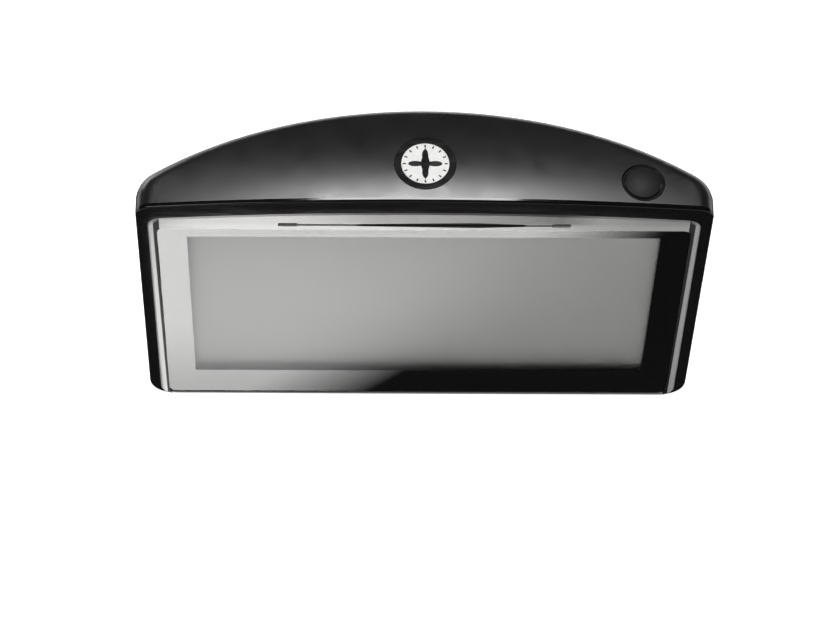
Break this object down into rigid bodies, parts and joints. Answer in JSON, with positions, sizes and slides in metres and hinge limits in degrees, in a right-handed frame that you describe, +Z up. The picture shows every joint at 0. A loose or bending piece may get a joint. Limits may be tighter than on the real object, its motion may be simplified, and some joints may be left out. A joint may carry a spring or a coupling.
{
  "type": "portable in-car navigation unit",
  "caption": "Wide touchscreen in-car navigation unit with silver rim, lens-shaped black case, top badge, sprung on/off button, docking base and push-in memory card.",
  "frame": {"origin": "middle of the case's footprint on the surface the unit stands on", "axes": "+X to the right seen from the screen side, -Y the way the screen faces, +Z up"},
  "size_m": [0.118, 0.0254, 0.08],
  "materials": {
    "satin_black": "satin moulded plastic",
    "gloss_black": "gloss moulded plastic",
    "silver_trim": "satin",
    "slot_black": "matt",
    "sensor_lens": "smoked, polished",
    "touch_glass": "polished",
    "border_ink": "printed black",
    "display_grey": "display switched on, blank",
    "foam_grey": "foam",
    "sheet_steel": "plated sheet",
    "screw_steel": "plated",
    "black_screw": "blackened",
    "brass": "turned",
    "gold_contact": "gold plated",
    "board_green": "solder resist",
    "ribbon_amber": "polyimide film",
    "socket_white": "moulded",
    "socket_black": "moulded",
    "patch_ceramic": "fired, silvered top",
    "cell_foil": "foil pouch",
    "cone_paper": "coated paper",
    "magnet_ferrite": "zinc plated",
    "grille_black": "powder coated",
    "soft_rubber": "soft",
    "clear_pipe": "clear",
    "label_silver": "blank film",
    "badge_white": "pearl white",
    "badge_black": "polished",
    "card_blue": "moulded, no print"
  },
  "bodies": {
    "housing": {"antenna_cover": "soft_rubber", "antenna_socket": "brass", "audio_jack": "socket_black", "badge_disc": "badge_white", "badge_needle": "badge_black", "badge_ring": "badge_black", "battery": "cell_foil", "battery_tape": "foam_grey", "board_screws": "screw_steel", "board_spacers": "brass", "button_board": "board_green", "button_ring": "badge_black", "card_socket": "sheet_steel", "case_posts": "brass", "case_screws": "black_screw", "charging_light": "clear_pipe", "chassis_screws": "screw_steel", "display_chassis": "sheet_steel", "display_gasket": "foam_grey", "display_ribbon": "ribbon_amber", "dock_connector": "socket_black", "dock_contacts": "gold_contact", "front_case": "gloss_black", "gps_antenna": "patch_ceramic", "lcd_panel": "display_grey", "light_sensor": "socket_black", "light_sensor_lens": "sensor_lens", "main_board": "board_green", "microphone": "sheet_steel", "microphone_mesh": "slot_black", "power_switch": "socket_black", "processor_shield": "sheet_steel", "rating_label": "label_silver", "rear_cover": "satin_black", "receiver_shield": "sheet_steel", "reset_switch": "socket_black", "ribbon_connector": "socket_white", "rim_slot_strip": "slot_black", "screen_mask": "border_ink", "silver_rim": "silver_trim", "speaker_basket": "sheet_steel", "speaker_cone": "cone_paper", "speaker_grille": "grille_black", "speaker_magnet": "magnet_ferrite", "touch_glass": "touch_glass", "usb_socket": "sheet_steel"},
    "power_key": {"power_button": "satin_black", "switch_plunger": "socket_white"},
    "reset_key": {"reset_button": "socket_white"},
    "card": {"memory_card": "card_blue"}
  },
  "joints": [
    {"name": "power_press", "type": "slide", "parent": "housing", "child": "power_key", "axis": [0, 0, -1], "range_m": [0, 0.0005], "stiffness_N_per_m": 3000},
    {"name": "reset_press", "type": "slide", "parent": "housing", "child": "reset_key", "axis": [0, 0, 1], "range_m": [0, 0.0004], "stiffness_N_per_m": 3000},
    {"name": "card_slide", "type": "slide", "parent": "housing", "child": "card", "axis": [-1, 0, 0], "range_m": [0, 0.024]}
  ]
}
